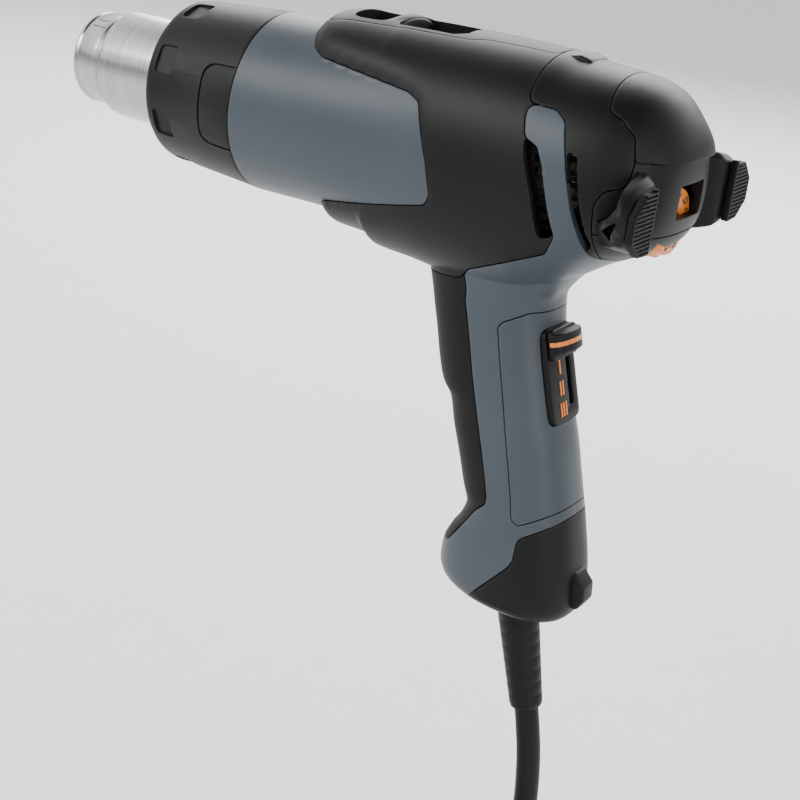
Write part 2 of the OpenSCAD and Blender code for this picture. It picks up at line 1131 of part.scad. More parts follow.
module coil_ring(over) {
  translate([coil_x, coil_y, floor_z - over])
    rotate_extrude()
      translate([coil_in - cord_d / 2, 0])
        square([coil_out - coil_in + cord_d, 3 * cord_d + 2 * over]);
}

module cord_coil() {
  color(soft_black)
    coil_ring(0);
}

module coil_tie() {
  color([0.2, 0.2, 0.2])
    translate([coil_x, coil_y - 49, floor_z])
      difference() {
        translate([-4, -10.6, 0.1])
          cube([8, 21.2, 3 * cord_d + 1.3]);
        translate([-5, -9.2, -1])
          cube([10, 18.4, 3 * cord_d + 1.05]);
      }
}

module plug_body() {
  color(soft_black)
    translate([-77.8, -30, -232])
      union() {
        rotate([-90, 0, 0])
          cylinder(h = 14, r1 = 5.6, r2 = 7.4);
        translate([0, 14, 0])
          rotate([-90, 0, 0])
            linear_extrude(height = 20)
              polygon([[-17.5, -4], [-13, -7.8], [13, -7.8], [17.5, -4],
                       [17.5, 4], [13, 7.8], [-13, 7.8], [-17.5, 4]]);
      }
}

module plug_pins() {
  color(steel)
    translate([-77.8, 4, -232])
      for (s = [-1, 1])
        translate([9.5 * s, 0, 0])
          rotate([-90, 0, 0])
            union() {
              cylinder(h = 17.6, r = 2.4);
              translate([0, 0, 17.6])
                cylinder(h = 1.4, r1 = 2.4, r2 = 1.4);
            }
}

shell_left();
shell_right();
front_shroud();
top_strip();
rear_housing();
rear_cap();
handle_left();
handle_right();
front_pad();
palm_panel();
base_cap();
intake_screens();
foot_left();
foot_right();
rubber_pads();
outlet_tube();
heat_shield();
protective_sleeve();
sleeve_grips();
mica_liner();
element_core();
heating_coils();
element_collar();
thermal_sensor();
sensor_bridge();
air_duct();
motor_mount();
motor_can();
motor_magnets();
motor_endcap();
brush_holders();
motor_bearings();
rotor_shaft();
armature();
fan();
dial_wheel();
dial_axle();
dial_carrier();
dial_encoder();
dial_board();
slide_carriage();
slide_knob();
slide_line();
slide_track();
stage_marks();
slide_switch();
control_board();
board_parts();
suppressor_can();
heat_sink();
terminal_block();
cord_clamp();
clamp_screws();
housing_screws();
strain_boot();
cord();
cord_coil();
coil_tie();
plug_body();
plug_pins();
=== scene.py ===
import json
import math
import bmesh
import bpy
import numpy as np
from mathutils import Matrix, Vector


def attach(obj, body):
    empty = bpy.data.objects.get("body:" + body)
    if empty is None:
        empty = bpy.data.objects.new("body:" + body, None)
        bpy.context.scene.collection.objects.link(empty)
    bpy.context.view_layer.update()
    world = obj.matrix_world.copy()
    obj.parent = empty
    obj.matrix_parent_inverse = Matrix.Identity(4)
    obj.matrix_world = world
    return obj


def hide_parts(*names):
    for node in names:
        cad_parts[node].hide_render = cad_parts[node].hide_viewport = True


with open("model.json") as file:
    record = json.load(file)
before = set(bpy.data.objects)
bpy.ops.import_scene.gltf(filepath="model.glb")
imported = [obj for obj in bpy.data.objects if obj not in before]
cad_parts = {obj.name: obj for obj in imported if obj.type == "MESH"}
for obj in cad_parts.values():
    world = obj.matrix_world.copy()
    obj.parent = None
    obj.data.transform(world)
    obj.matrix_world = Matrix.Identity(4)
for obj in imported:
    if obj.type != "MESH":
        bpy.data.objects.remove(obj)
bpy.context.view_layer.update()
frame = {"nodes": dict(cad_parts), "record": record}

# Shape numbers are in millimetres, and MM turns them into metres when a mesh is made.
MM = 0.001
# Heights of the barrel's axis, the dial wheel's axis and the floor.
AXIS = 85.0
WHEEL_AXIS = 78.8
FLOOR_LEVEL = -240.5
# Radius of the cord, the housing's wall, each side's share of a seam, and half the seam in the middle plane.
CORD_R = 4.4
WALL = 2.4
GAP = 0.2
HALF_GAP = 0.06


# ---------------------------------------------------------------- camera and light
def make_camera():
    az, el, roll = (math.radians(a) for a in (30.83, 21.89, 7.09))
    back = Vector((math.sin(az) * math.cos(el), -math.cos(az) * math.cos(el), math.sin(el)))
    right = Vector((math.cos(az), math.sin(az), 0))
    up = back.cross(right)
    across = math.cos(roll) * right + math.sin(roll) * up
    top = math.cos(roll) * up - math.sin(roll) * right
    data = bpy.data.cameras.new("camera")
    data.sensor_width = 36
    data.lens = 67.52
    cam = bpy.data.objects.new("camera", data)
    bpy.context.scene.collection.objects.link(cam)
    turn = Matrix((across, top, back)).transposed().to_4x4()
    cam.matrix_world = Matrix.Translation((0.2097, -0.4288, 0.1910)) @ turn
    bpy.context.scene.camera = cam


def area_light(name, place, aim, size, watts):
    data = bpy.data.lights.new(name, "AREA")
    data.shape = "RECTANGLE"
    data.size, data.size_y = size
    data.energy = watts
    lamp = bpy.data.objects.new(name, data)
    bpy.context.scene.collection.objects.link(lamp)
    look = Vector(aim) - Vector(place)
    turn = look.to_track_quat("-Z", "Y").to_matrix().to_4x4()
    lamp.matrix_world = Matrix.Translation(place) @ turn


make_camera()


# ---------------------------------------------------------------- mesh helpers
def link(name, mesh):
    obj = bpy.data.objects.new(name, mesh)
    bpy.context.scene.collection.objects.link(obj)
    return obj


def solid(name, points, faces):
    mesh = bpy.data.meshes.new(name)
    mesh.from_pydata([[c * MM for c in p] for p in points], [], faces)
    bm = bmesh.new()
    bm.from_mesh(mesh)
    bmesh.ops.recalc_face_normals(bm, faces=bm.faces)
    bm.to_mesh(mesh)
    bm.free()
    return link(name, mesh)


def skin(name, rings):
    """A closed solid through rings of equally many points, with flat ends."""
    n, m = len(rings), len(rings[0])
    points = [p for ring in rings for p in ring]
    faces = []
    for k in range(n - 1):
        for i in range(m):
            j = (i + 1) % m
            faces.append([k * m + i, (k + 1) * m + i, (k + 1) * m + j, k * m + j])
    faces.append(list(range(m)))
    faces.append(list(range((n - 1) * m, n * m))[::-1])
    return solid(name, points, faces)


def hoop(name, profile, place, seg):
    """A closed (radius, along) profile turned once round; place turns (radius, along, angle) into a point."""
    m = len(profile)
    points = [place(r, a, 2 * math.pi * k / seg) for k in range(seg) for r, a in profile]
    faces = []
    for k in range(seg):
        for i in range(m):
            j = (i + 1) % m
            q = (k + 1) % seg
            faces.append([k * m + i, q * m + i, q * m + j, k * m + j])
    return solid(name, points, faces)


def on_barrel(r, x, a):
    return (x, r * math.cos(a), AXIS + r * math.sin(a))


def on_wheel(r, x, a):
    return (x, r * math.cos(a), WHEEL_AXIS + r * math.sin(a))


def from_above(u, v, w):
    return (u, v, w)


def from_side(u, v, w):
    return (u, w, v)


def from_rear(u, v, w):
    return (w, u, v)


def prism(name, outline, low, high, place):
    """An outline's solid between two depths; place turns (u, v, depth) into a point."""
    m = len(outline)
    points = [place(u, v, w) for w in (low, high) for u, v in outline]
    faces = [[i, (i + 1) % m, m + (i + 1) % m, m + i] for i in range(m)]
    faces.append(list(range(m)))
    faces.append(list(range(m, 2 * m))[::-1])
    return solid(name, points, faces)


def side_prism(outline):
    return prism("cutter", outline, -100.0, 100.0, from_side)


def top_prism(outline):
    return prism("cutter", outline, 100.0, 150.0, from_above)


def rear_prism(outline, x0, x1):
    return prism("cutter", outline, x0, x1, from_rear)


def wrapped(outline, r0, r1, turn):
    """A prism of an (x, arc length) outline, wrapped round the barrel at radius r0 to r1."""
    mid = (r0 + r1) / 2
    return prism("cutter", outline, r0, r1, lambda u, v, w: on_barrel(w, u, turn + v / mid))


def cube(x0, x1, y0, y1, z0, z1):
    return prism("cutter", [(x0, y0), (x1, y0), (x1, y1), (x0, y1)], z0, z1, from_above)


def evaluated_mesh(obj):
    graph = bpy.context.evaluated_depsgraph_get()
    return bpy.data.meshes.new_from_object(obj.evaluated_get(graph))


def combine(target, other, operation):
    """A boolean that uses up the other solid; the exact solver steps in where the fast one finds nothing."""
    for solver in ("MANIFOLD", "EXACT"):
        mod = target.modifiers.new("combine", "BOOLEAN")
        mod.operation = operation
        mod.solver = solver
        mod.object = other
        mesh = evaluated_mesh(target)
        target.modifiers.clear()
        if len(mesh.polygons):
            break
    target.data = mesh
    bpy.data.objects.remove(other)
    return target


def minus(target, *cutters):
    for c in cutters:
        combine(target, c, "DIFFERENCE")
    return target


def within(target, *cutters):
    for c in cutters:
        combine(target, c, "INTERSECT")
    return target


def joined(target, *others):
    for c in others:
        combine(target, c, "UNION")
    return target


def twin(obj, name):
    new = obj.copy()
    new.data = obj.data.copy()
    new.name = name
    bpy.context.scene.collection.objects.link(new)
    return new


def moved(obj, matrix):
    obj.data.transform(matrix)
    obj.data.update()
    return obj


def rounded_edges(obj, width, segments=3, angle=32):
    mod = obj.modifiers.new("round", "BEVEL")
    mod.width = width * MM
    mod.segments = segments
    mod.limit_method = "ANGLE"
    mod.angle_limit = math.radians(angle)
    mesh = evaluated_mesh(obj)
    obj.modifiers.clear()
    obj.data = mesh
    return obj


def smooth(obj, angle=30):
    obj.data.shade_smooth()
    obj.data.set_sharp_from_angle(angle=math.radians(angle))
    return obj


def soften(points, radius, steps=6):
    """An outline with its corners rounded."""
    out = []
    n = len(points)
    for i in range(n):
        p = np.array(points[i], float)
        a = np.array(points[i - 1], float) - p
        b = np.array(points[(i + 1) % n], float) - p
        la, lb = np.linalg.norm(a), np.linalg.norm(b)
        bend = math.pi - math.acos(max(-1, min(1, float(a @ b) / (la * lb))))
        cut = min(radius * math.tan(bend / 2), 0.45 * la, 0.45 * lb)
        if cut < 0.05:
            out.append(tuple(p))
            continue
        s, e = p + a / la * cut, p + b / lb * cut
        for k in range(steps + 1):
            t = k / steps
            out.append(tuple((1 - t) ** 2 * s + 2 * t * (1 - t) * p + t * t * e))
    return out


def grow(points, by):
    """An outline moved outwards, or inwards where by is negative."""
    pts = [np.array(p, float) for p in points]
    pts = [p for i, p in enumerate(pts) if np.linalg.norm(p - pts[i - 1]) > 1e-6]
    n = len(pts)
    area = sum(pts[i - 1][0] * pts[i][1] - pts[i][0] * pts[i - 1][1] for i in range(n))
    sign = 1 if area > 0 else -1
    out = []
    for i in range(n):
        a = pts[i] - pts[i - 1]
        b = pts[(i + 1) % n] - pts[i]
        na = np.array((a[1], -a[0])) / np.linalg.norm(a) * sign
        nb = np.array((b[1], -b[0])) / np.linalg.norm(b) * sign
        mid = na + nb
        out.append(tuple(pts[i] + mid * by * min(2 / max(float(mid @ mid), 0.3), 4)))
    return out


def slab_outline(x0, x1, y0, y1, r):
    return soften([(x0, y0), (x1, y0), (x1, y1), (x0, y1)], r)


def circle(r, count, centre=(0, 0)):
    turns = [2 * math.pi * k / count for k in range(count)]
    return [(centre[0] + r * math.cos(t), centre[1] + r * math.sin(t)) for t in turns]


def eased(t):
    """A smooth step from 0 to 1 as t goes from 0 to 1."""
    t = min(1, max(0, t))
    return t * t * (3 - 2 * t)


def pchip(x, y, q):
    """Values at q on a smooth curve through (x, y) that never overshoots its points."""
    x, y, q = (np.array(v, float) for v in (x, y, q))
    h = np.diff(x)
    d = np.diff(y) / h
    m = np.zeros(len(x))
    m[0], m[-1] = d[0], d[-1]
    for i in range(1, len(x) - 1):
        if d[i - 1] * d[i] > 0:
            w1, w2 = 2 * h[i] + h[i - 1], h[i] + 2 * h[i - 1]
            m[i] = (w1 + w2) / (w1 / d[i - 1] + w2 / d[i])
    k = np.clip(np.searchsorted(x, q) - 1, 0, len(x) - 2)
    t = (q - x[k]) / h[k]
    return ((1 + 2 * t) * (1 - t) ** 2 * y[k] + t * (1 - t) ** 2 * h[k] * m[k]
            + t * t * (3 - 2 * t) * y[k + 1] + t * t * (t - 1) * h[k] * m[k + 1])


# ---------------------------------------------------------------- materials
def ramp(nodes, links, source, low, high):
    """The middle of a noise's range, spread from low to high."""
    node = nodes.new("ShaderNodeMapRange")
    node.inputs["From Min"].default_value = 0.3
    node.inputs["From Max"].default_value = 0.7
    node.inputs["To Min"].default_value = low
    node.inputs["To Max"].default_value = high
    links.new(source, node.inputs["Value"])
    return node.outputs["Result"]


def material(name, base, rough, tint=0.08, swing=0.05, grain=2600, depth=0.05, metal=0.0,
             stretch=None, rim=0.35, edge_highlight=0.0, coat=0.0, specular=0.5, sheen=0.0, second=None):
    """A plastic, rubber or metal: mottled colour and roughness, a fine grain, soft edges and a painted
    highlight on sharp edges.
    """
    mat = bpy.data.materials.new(name)
    mat.use_nodes = True
    nodes, links = mat.node_tree.nodes, mat.node_tree.links
    shader = nodes["Principled BSDF"]
    shader.inputs["Metallic"].default_value = metal
    shader.inputs["Specular IOR Level"].default_value = specular
    shader.inputs["Coat Weight"].default_value = coat
    shader.inputs["Coat Roughness"].default_value = 0.25
    shader.inputs["Sheen Weight"].default_value = sheen
    where = nodes.new("ShaderNodeTexCoord").outputs["Object"]
    if stretch:
        turn = nodes.new("ShaderNodeMapping")
        turn.inputs["Scale"].default_value = stretch
        links.new(where, turn.inputs["Vector"])
        where = turn.outputs["Vector"]

    def noise(scale, detail):
        node = nodes.new("ShaderNodeTexNoise")
        node.inputs["Scale"].default_value = scale
        node.inputs["Detail"].default_value = detail
        node.inputs["Roughness"].default_value = 0.6
        links.new(where, node.inputs["Vector"])
        return node.outputs["Fac"]

    broad = noise(38, 4)
    fine = noise(grain, 3)
    mix = nodes.new("ShaderNodeMix")
    mix.data_type = "RGBA"
    dark = [c * (1 - tint) for c in base] + [1]
    light = [min(1, c * (1 + tint)) for c in (second or base)] + [1]
    mix.inputs["A"].default_value = dark
    mix.inputs["B"].default_value = light
    links.new(ramp(nodes, links, broad, 0, 1), mix.inputs["Factor"])
    colour = mix.outputs["Result"]
    # painted highlight: sharp convex edges, found by pointiness, get a lighter colour
    if edge_highlight:
        edge = nodes.new("ShaderNodeNewGeometry").outputs["Pointiness"]
        pick = nodes.new("ShaderNodeMapRange")
        pick.inputs["From Min"].default_value = 0.52
        pick.inputs["From Max"].default_value = 0.60
        pick.inputs["To Max"].default_value = edge_highlight
        links.new(edge, pick.inputs["Value"])
        highlight_mix = nodes.new("ShaderNodeMix")
        highlight_mix.data_type = "RGBA"
        highlight_mix.inputs["B"].default_value = [min(1, c * 2.2 + 0.05) for c in base] + [1]
        links.new(pick.outputs["Result"], highlight_mix.inputs["Factor"])
        links.new(colour, highlight_mix.inputs["A"])
        colour = highlight_mix.outputs["Result"]
    links.new(colour, shader.inputs["Base Color"])
    both = nodes.new("ShaderNodeMath")
    both.operation = "ADD"
    links.new(ramp(nodes, links, broad, rough - swing, rough), both.inputs[0])
    links.new(ramp(nodes, links, fine, 0, swing), both.inputs[1])
    links.new(both.outputs["Value"], shader.inputs["Roughness"])
    bump = nodes.new("ShaderNodeBump")
    bump.inputs["Strength"].default_value = depth
    bump.inputs["Distance"].default_value = 0.0004
    links.new(fine, bump.inputs["Height"])
    if rim:
        edge_round = nodes.new("ShaderNodeBevel")
        edge_round.samples = 4
        edge_round.inputs["Radius"].default_value = rim * MM
        links.new(edge_round.outputs["Normal"], bump.inputs["Normal"])
    links.new(bump.outputs["Normal"], shader.inputs["Normal"])
    return mat


# the black and slate plastics get the painted edge highlight
BLACK = material("black_plastic", (0.0042, 0.0043, 0.0046), 0.44, edge_highlight=0.22, depth=0.10, rim=0.5,
                 specular=0.16)
SOFT = material("soft_black_plastic", (0.004, 0.004, 0.0043), 0.48, depth=0.08, rim=0.4, specular=0.16)
SLATE = material("slate_plastic", (0.040, 0.051, 0.061), 0.40, tint=0.05, edge_highlight=0.12, depth=0.07, rim=0.5,
                 specular=0.25)
RUBBER = material("grip_rubber", (0.0035, 0.0035, 0.0038), 0.6, grain=1800, depth=0.18, sheen=0.02, rim=0.5,
                  specular=0.14)
ORANGE = material("orange_plastic", (0.60, 0.155, 0.004), 0.38, tint=0.04, depth=0.03, coat=0.2, rim=0.2)
INK = material("printed_ink", (0.02, 0.012, 0.01), 0.6, rim=0)
TUBE = material("brushed_steel", (0.36, 0.36, 0.37), 0.22, tint=0.06, swing=0.05, grain=70, depth=0.04,
                metal=1.0, stretch=(55, 1, 1), rim=0.3, second=(0.44, 0.435, 0.43))
STEEL = material("steel", (0.62, 0.62, 0.64), 0.28, metal=1.0, rim=0.2)
DARK_STEEL = material("dark_steel", (0.002, 0.002, 0.0022), 0.6, rim=0.2, specular=0.05)
MICA = material("mica", (0.50, 0.42, 0.28), 0.55, tint=0.25, grain=900, depth=0.2, rim=0)
WIRE = material("heating_wire", (0.26, 0.20, 0.17), 0.5, metal=0.8, rim=0)
CERAMIC = material("ceramic", (0.75, 0.73, 0.67), 0.6, grain=1500, rim=0.2)
IVORY = material("ivory_plastic", (0.62, 0.59, 0.52), 0.5, rim=0.2)
DUCT = material("duct_plastic", (0.035, 0.035, 0.037), 0.6, rim=0.2)
MAGNET = material("magnet", (0.05, 0.05, 0.055), 0.6, grain=1400, depth=0.2, rim=0.2)
COPPER = material("copper", (0.50, 0.24, 0.11), 0.35, metal=0.9, stretch=(1, 14, 14), grain=300, depth=0.3,
                  rim=0)
BRASS = material("brass", (0.66, 0.48, 0.18), 0.32, metal=1.0, rim=0.2)
DARK = material("fan_plastic", (0.03, 0.03, 0.033), 0.5, rim=0.3)
BLUE = material("encoder_blue", (0.03, 0.09, 0.28), 0.35, coat=0.3, rim=0.2)
BOARD = material("circuit_board", (0.02, 0.14, 0.07), 0.4, tint=0.2, grain=900, depth=0.1, rim=0)
ALUMINIUM = material("heat_sink", (0.70, 0.71, 0.72), 0.35, metal=1.0, stretch=(1, 1, 30), grain=80, rim=0.2)
CORD = material("cord_rubber", (0.0042, 0.0042, 0.0045), 0.5, grain=1500, depth=0.12, sheen=0.02, rim=0.3,
                specular=0.15)
TIE = material("tie_plastic", (0.02, 0.02, 0.022), 0.85, grain=1300, depth=0.6, sheen=0.4, rim=0.2)
FLOOR = material("floor", (0.86, 0.86, 0.86), 0.75, tint=0.01, grain=40, depth=0.0, rim=0)

SLOT_LOOKS = {
    "black_plastic": BLACK, "soft_black_plastic": SOFT, "slate_plastic": SLATE, "grip_rubber": RUBBER,
    "orange_plastic": ORANGE, "brushed_steel": TUBE, "steel": STEEL, "dark_steel": DARK_STEEL, "mica": MICA,
    "heating_wire": WIRE, "ceramic": CERAMIC, "ivory_plastic": IVORY, "magnet": MAGNET, "copper": COPPER,
    "brass": BRASS, "fan_plastic": DARK, "encoder_blue": BLUE, "circuit_board": BOARD,
    "heat_sink": ALUMINIUM, "cord_rubber": CORD, "tie_plastic": TIE,
}


def finish_piece(obj, look, slot_name, body, *nodes, angle=30):
    smooth(obj, angle)
    obj.data.materials.clear()
    obj.data.materials.append(look)
    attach(obj, body)
    if nodes:
        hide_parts(*nodes)
    return obj


# ---------------------------------------------------------------- cord, coil, tie and plug
def through(points, step):
    """Points a step apart on a smooth curve through the given ones."""
    p = [np.array(v, float) for v in points]
    p = [2 * p[0] - p[1]] + p + [2 * p[-1] - p[-2]]
    out = []
    for i in range(1, len(p) - 2):
        a, b, c, d = p[i - 1:i + 3]
        n = max(2, int(np.linalg.norm(c - b) / step))
        la, lb, lc = (max(np.linalg.norm(v) ** 0.5, 1e-6) for v in (b - a, c - b, d - c))
        m1 = ((b - a) / la - (c - a) / (la + lb) + (c - b) / lb) * lb
        m2 = ((c - b) / lb - (d - b) / (lb + lc) + (d - c) / lc) * lb
        for k in range(n):
            t = k / n
            out.append((1 + 2 * t) * (1 - t) ** 2 * b + t * (1 - t) ** 2 * m1
                       + t * t * (3 - 2 * t) * c + t * t * (t - 1) * m2)
    out.append(p[-2])
    return out


DROP = [
    (20.2, 0, -99.1), (22.15, 0, -106.7), (24.6, 0, -117), (26.5, 0, -127), (28, 0, -140), (28.8, 0, -155),
    (29, 0, -170), (29, -0.7, -180), (29, -3.2, -189), (29, -8, -197.6), (29, -14.5, -205),
    (29, -22.8, -211), (29, -32.6, -215.2), (29, -43.5, -217.4), (29, -55, -218), (29, -75, -218),
]
TAIL = [
    (-77.8, -75, -235.6), (-77.8, -64, -235.6), (-77.8, -52, -235.2), (-77.8, -40, -233.6),
    (-77.8, -30, -232),
]
COIL = (-24.4, -75.0)
INNER, OUTER = 44.6, 53.4
LAYERS = (-218.0, -226.8, -235.6)
# The places in the coil that the cord fills, turn by turn, as radius and height.
PLACES = [
    (OUTER, LAYERS[0]), (INNER, LAYERS[0]), (INNER, LAYERS[1]), (INNER, LAYERS[2]), (OUTER, LAYERS[1]),
    (OUTER, LAYERS[2]),
]


TURNS = 5.5
# The cord steps over to its next place between these two angles of each turn.
STEP_FROM, STEP_TO = 296, 348


def coil_points():
    out = []
    for angle in range(3, int(TURNS * 360), 3):
        turn, within_turn = divmod(angle, 360)
        w = eased((within_turn - STEP_FROM) / (STEP_TO - STEP_FROM))
        here = PLACES[turn]
        there = PLACES[min(turn + 1, len(PLACES) - 1)]
        r = here[0] + (there[0] - here[0]) * w
        z = here[1] + (there[1] - here[1]) * w
        a = -math.radians(angle)
        out.append((COIL[0] + r * math.cos(a), COIL[1] + r * math.sin(a), z))
    return out


def make_cord():
    path = through(DROP, 3) + [np.array(p) for p in coil_points()] + through(TAIL, 3)
    curve = bpy.data.curves.new("mains_cord", "CURVE")
    curve.dimensions = "3D"
    curve.bevel_depth = CORD_R * MM
    curve.bevel_resolution = 6
    curve.use_fill_caps = True
    line = curve.splines.new("POLY")
    line.points.add(len(path) - 1)
    for point, place in zip(line.points, path):
        point.co = (*(float(c) * MM for c in place), 1)
    line.use_smooth = True
    obj = link("mains_cord", curve)
    curve.materials.append(CORD)
    length = sum(float(np.linalg.norm(b - a)) for a, b in zip(path, path[1:])) * MM
    return obj, length


cord, cord_length = make_cord()
print("cord length", round(cord_length, 3))
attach(cord, "gun")
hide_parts("cord", "cord_coil")


PLUG_X, PLUG_Z = -77.8, -232
PIN_APART = 19.0


def super_point(angle, half, tall, full):
    """A point on an oval: fullness 2 is an ellipse, and more is nearer to a box."""
    c, s = math.cos(angle), math.sin(angle)
    return half * math.copysign(abs(c) ** (2 / full), c), tall * math.copysign(abs(s) ** (2 / full), s)


def plug_pin(side):
    profile = [(0.01, 2), (2.4, 2), (2.4, 20.6), (2.2, 21.8), (1.6, 22.6), (0.01, 22.9)]
    x = PLUG_X + side * PIN_APART / 2
    return hoop("plug_pin", profile, lambda r, y, a: (x + r * math.cos(a), y, PLUG_Z + r * math.sin(a)), 40)


def make_plug():
    # Sections along the plug: y, half width, half height, fullness.
    rows = [
        (-31, 4.9, 4.9, 2), (-26, 5.2, 5.2, 2), (-25.2, 6.2, 6.0, 2), (-20, 6.6, 6.2, 2),
        (-16, 7.4, 6.7, 2.1),
        (-13, 10, 7.2, 2.4), (-10, 13.6, 7.6, 2.8), (-6, 16.2, 7.7, 3), (-1, 17.3, 7.7, 3.2),
        (2.6, 17.4, 7.6, 3.2),
        (3.6, 16.8, 7.0, 3.2),
    ]
    ys = np.linspace(rows[0][0], rows[-1][0], 60)
    half, tall, full = (pchip([r[0] for r in rows], [r[i] for r in rows], ys) for i in (1, 2, 3))
    rings = []
    for y, h, t, n in zip(ys, half, tall, full):
        section = [super_point(2 * math.pi * i / 64, h, t, n) for i in range(64)]
        rings.append([(PLUG_X + u, y, PLUG_Z + v) for u, v in section])
    body = skin("plug_moulding", rings)
    for side in (-1, 1):
        x = PLUG_X + side * 17.6
        for k in range(4):
            groove = slab_outline(x - 1.2, x + 1.2, -9 + 2.8 * k, -7.8 + 2.8 * k, 0.4)
            minus(body, prism("cutter", groove, -240, -220, from_above))
    finish_piece(body, CORD, "cord_rubber", "gun", "plug_body")
    pins = joined(plug_pin(-1), plug_pin(1))
    pins.name = "plug_contacts"
    finish_piece(pins, STEEL, "steel", "gun", "plug_pins")
    return body, pins


plug, contacts = make_plug()


def make_tie():
    outer = soften([(-10.6, 0.2), (-10.6, 27.6), (10.6, 27.6), (10.6, 0.2)], 3)
    inner = soften([(-9.3, -2), (-9.3, 26.5), (9.3, 26.5), (9.3, -2)], 2.5)

    def at(u, v, w):
        return (COIL[0] + w, COIL[1] - (INNER + OUTER) / 2 + u, -240 + v)

    strap = minus(prism("strap", outer, -4, 4, at), prism("cutter", inner, -6, 6, at))
    flap = prism("flap", soften([(-4, 27.4), (9, 27.4), (9, 28.3), (-4, 28.3)], 0.3), -3.6, 3.6, at)
    joined(strap, flap)
    strap.name = "cord_strap"
    rounded_edges(strap, 0.25, 2)
    return finish_piece(strap, TIE, "tie_plastic", "gun", "coil_tie")


strap = make_tie()


# ---------------------------------------------------------------- housing shapes
# Sections along the barrel: x, up, down, half width, fullness.
RAISED = [
    (-92, 32.1, 31.3, 32.2, 2.05), (-88, 34.4, 31.1, 32.4, 2.08), (-85, 36.4, 31, 32.5, 2.1),
    (-77, 37.9, 31, 32.7, 2.15),
    (-74.5, 38.1, 34.6, 32.8, 2.15), (-57, 38.6, 36, 33.1, 2.18), (-54.5, 38.7, 38.8, 33.1, 2.2),
    (-42, 38.8, 39.6, 33.3, 2.2), (-28, 38.8, 41, 33.5, 2.2), (-12, 38.7, 42, 33.5, 2.2),
    (0, 38.3, 40, 33.5, 2.2),
    (8, 37.2, 36, 33.4, 2.2), (18, 36.4, 29.5, 33, 2.2), (27, 35.6, 23.5, 31.8, 2.2),
    (34, 33.9, 19.8, 29.6, 2.2),
    (39, 31, 17.2, 26.6, 2.15), (42.5, 27, 15, 23, 2.12), (45, 21.6, 12.4, 18.6, 2.1),
    (46.5, 15.6, 9, 13.4, 2.05),
    (47.2, 9, 5.4, 7.8, 2), (47.4, 5, 3, 4.4, 2),
]
FLUSH = [
    (-108.5, 31.7, 31.7, 31.7, 2), (-90, 32.3, 31.3, 32.1, 2.0), (-76, 33, 31, 32.4, 2.05),
    (-50, 34.6, 33.5, 32.8, 2.12),
    (-30, 37, 38, 33.3, 2.2), (-12, 38.7, 42, 33.5, 2.2),
] + [r for r in RAISED if r[0] > -12]
GRIP = [
    (-66.4, 3, 29.5, 13.5), (-65, -5, 32.4, 17), (-62.6, -12, 33.9, 19.4), (-59.5, -16, 34.4, 20.6),
    (-55, -17.5, 34.2, 21),
    (-50, -17.3, 33.6, 21), (-44, -15.2, 32.4, 20.6), (-38, -11.8, 31, 19.8), (-32, -10.2, 29.6, 19),
    (-25, -12.8, 27.8, 18.7),
    (-15, -16.2, 25.1, 18.5), (-5, -19.8, 22.4, 18.5), (5, -22.8, 18.9, 18.5), (9, -26.2, 17.6, 18.5),
    (15, -28.5, 15.8, 18.5),
    (25, -31, 12.8, 18.5), (35, -33.7, 10.5, 18.7), (44, -36, 9.3, 19.3), (50, -38, 12.5, 20.3),
    (56, -40, 18, 22),
    (62, -43, 26, 24.5), (68, -46, 34, 27),
]
SHROUD = [
    (-120, 135), (-87.5, 135), (-87.5, 115), (-83, 110.5), (-78, 108.5), (-40, 105), (-35, 103), (-32, 96),
    (-28, 86),
    (-25.5, 76), (-27, 72), (-47, 67), (-74, 61), (-76, 57), (-76, 35), (-120, 35),
]
BAND = [
    (-18, 48), (-13, 53), (15, 66), (18.5, 73), (15, 84), (12, 93), (9, 98.5), (4, 100.5), (1, 110),
    (11, 109.5), (15, 107),
    (18, 99), (21, 90), (24, 81), (26.5, 74), (27.5, 67.5), (34, 65.5), (60, 50), (60, -80), (-60, -80),
    (-60, 43),
]
REAR = [
    (0, 135), (0, 119), (1, 110), (11, 109.5), (15, 107), (18, 99), (21, 90), (24, 81), (26.5, 74),
    (27.5, 67.5), (34, 65.5),
    (60, 50), (60, 135),
]
CAP = [
    (22, 135), (24, 118), (26, 112), (31, 110), (36, 106), (38, 99), (38, 92), (32, 90), (30, 86), (30, 40),
    (80, 40), (80, 135),
]
PAD = [
    (-70, 60), (-18, 60), (-15, 45), (-15, 41), (-9, 17), (-5, 3), (-1, -10), (3, -24), (3, -27), (-1, -31),
    (-11, -47),
    (-30, -50), (-70, -50),
]
PALM = [
    (60, 41), (6, 41), (-1, 37), (-2.5, 35), (0, 24), (5, 5), (12, -22), (13.5, -29), (16, -30.5),
    (31, -22), (60, -19),
]
BASE = [(60, -26), (31, -26), (17, -35), (17, -43), (15.5, -46), (3, -61), (-2, -90), (60, -90)]
FRONT_SLOT = [(4, 100.5), (9, 98.5), (12, 93), (15, 84), (18.5, 73), (13.5, 71), (10, 84), (5.5, 95)]
REAR_SLOT = [(18.8, 99), (22, 98.5), (25.5, 85), (29.3, 72), (27.2, 69.5), (24.4, 81), (21.4, 90)]
STRIP = [
    (-86, -10), (-83, -13.5), (-56, -13), (-31, -12), (-24, -9.5), (-0.2, -8), (-0.2, 8), (-24, 9.5),
    (-31, 12), (-56, 13),
    (-83, 13.5), (-86, 10),
]
SLIDE_TURN = Matrix.Translation((0.0137, 0, 0.019)) @ Matrix.Rotation(math.radians(-16.5), 4, "Y")
BOOT_TURN = Matrix.Translation((0.01118, 0, -0.06403)) @ Matrix.Rotation(math.radians(180 - 14.4), 4, "Y")
FINE = 1.0


